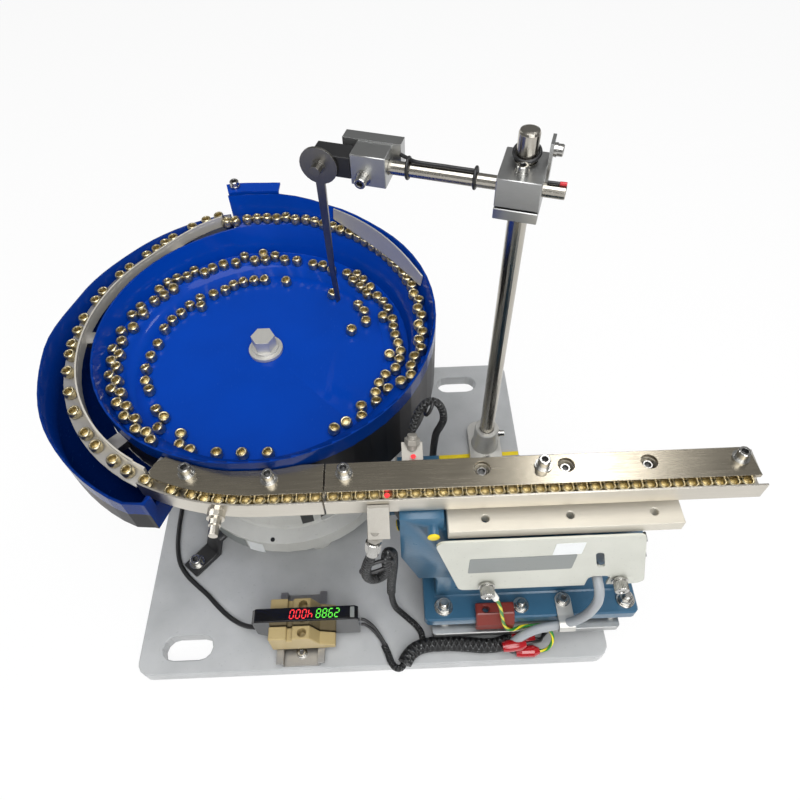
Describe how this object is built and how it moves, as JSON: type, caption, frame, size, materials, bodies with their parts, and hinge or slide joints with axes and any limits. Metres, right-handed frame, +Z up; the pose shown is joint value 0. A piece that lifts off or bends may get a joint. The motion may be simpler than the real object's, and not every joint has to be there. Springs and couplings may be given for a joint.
{
  "type": "vibratory bowl feeder",
  "caption": "Spiral bowl on a round vibratory drive that turns small parts and passes them along a grooved linear track, with a level switch arm on a post and a fibre amplifier.",
  "frame": {"origin": "underside of the base plate, on the bowl's axis", "axes": "+X along the linear track towards its outfeed end, +Y away from the track across the bowl, +Z up"},
  "size_m": [0.426, 0.3076, 0.318],
  "materials": {
    "alloy": "satin",
    "anodised_red": "anodised",
    "beige_plastic": "moulded",
    "black_plastic": "satin",
    "bowl_blue": "glossy coating",
    "bright_steel": "bright",
    "brushed_steel": "milled and brushed",
    "cast_white": "painted off-white, matt",
    "coil_copper": "lacquered winding",
    "crimp_red": "gloss",
    "drive_blue": "gloss enamel",
    "earth_cord": "smooth PVC",
    "grey_cord": "smooth PVC",
    "grey_paint": "satin",
    "spring_steel": "blackened spring steel"
  },
  "bodies": {
    "base": {"base_plate": "grey_paint", "side_cover": "grey_paint", "drive_base": "cast_white", "drive_clamp_1": "black_plastic", "drive_clamp_2": "black_plastic", "drive_clamp_3": "black_plastic", "fibre_amplifier": "black_plastic", "fibre_lead": "black_plastic", "harness": "black_plastic", "harness_boot": "black_plastic", "sensor_lead_front": "black_plastic", "sensor_lead_rear": "black_plastic", "amplifier_lead": "black_plastic", "amplifier_coil": "black_plastic", "amplifier_plug": "black_plastic", "supply_coil": "black_plastic", "supply_plug": "black_plastic", "drive_spring_1": "spring_steel", "drive_spring_2": "spring_steel", "drive_spring_3": "spring_steel", "drive_spring_4": "spring_steel", "linear_spring_left": "spring_steel", "linear_spring_right": "spring_steel", "drive_coil": "coil_copper", "linear_coil": "coil_copper", "thumb_screw_left": "bright_steel", "thumb_screw_right": "bright_steel", "din_rail": "bright_steel", "post_foot": "bright_steel", "post": "brushed_steel", "riser_plate": "alloy", "cable_clip": "alloy", "linear_base": "drive_blue", "cable_bracket": "anodised_red", "end_bracket_front": "beige_plastic", "end_bracket_back": "beige_plastic", "crimp_connector": "crimp_red", "drive_lead": "grey_cord", "earth_wire": "earth_cord"},
    "bowl_body": {"drive_yoke": "cast_white", "bowl": "bowl_blue", "return_pan": "bowl_blue", "centre_bolt": "bright_steel", "wiper_blade": "brushed_steel", "tab_plate": "bowl_blue", "discharge_rails": "brushed_steel", "discharge_channel": "brushed_steel", "channel_cover": "brushed_steel"},
    "track_body": {"linear_yoke": "drive_blue", "track_mount": "brushed_steel", "track_rail": "brushed_steel", "track_cover": "brushed_steel", "sensor_head_front": "bright_steel", "sensor_head_rear": "bright_steel"},
    "clamp_body": {"cross_clamp": "alloy"},
    "arm_body": {"arm_rod": "brushed_steel", "switch_block": "alloy", "micro_switch": "black_plastic", "switch_wire": "black_plastic"},
    "paddle_body": {"paddle": "brushed_steel"}
  },
  "joints": [
    {"name": "bowl_vibration", "type": "hinge", "parent": "base", "child": "bowl_body", "pos_m": [0, 0, 0.12], "axis": [0, 0, 1], "range_deg": [-0.2, 0.2], "stiffness_Nm_per_rad": 800},
    {"name": "track_vibration", "type": "slide", "parent": "base", "child": "track_body", "axis": [1, 0, 0], "range_m": [-0.00025, 0.00025], "stiffness_N_per_m": 100000},
    {"name": "clamp_height", "type": "slide", "parent": "base", "child": "clamp_body", "axis": [0, 0, 1], "range_m": [-0.008, 0.014]},
    {"name": "arm_reach", "type": "slide", "parent": "clamp_body", "child": "arm_body", "axis": [0.9511, -0.309, 0], "range_m": [-0.01, 0.01]},
    {"name": "paddle_swing", "type": "hinge", "parent": "arm_body", "child": "paddle_body", "pos_m": [0.05593, 0.05354, 0.292], "axis": [0.309, 0.9511, 0], "range_deg": [-10, 10]}
  ]
}
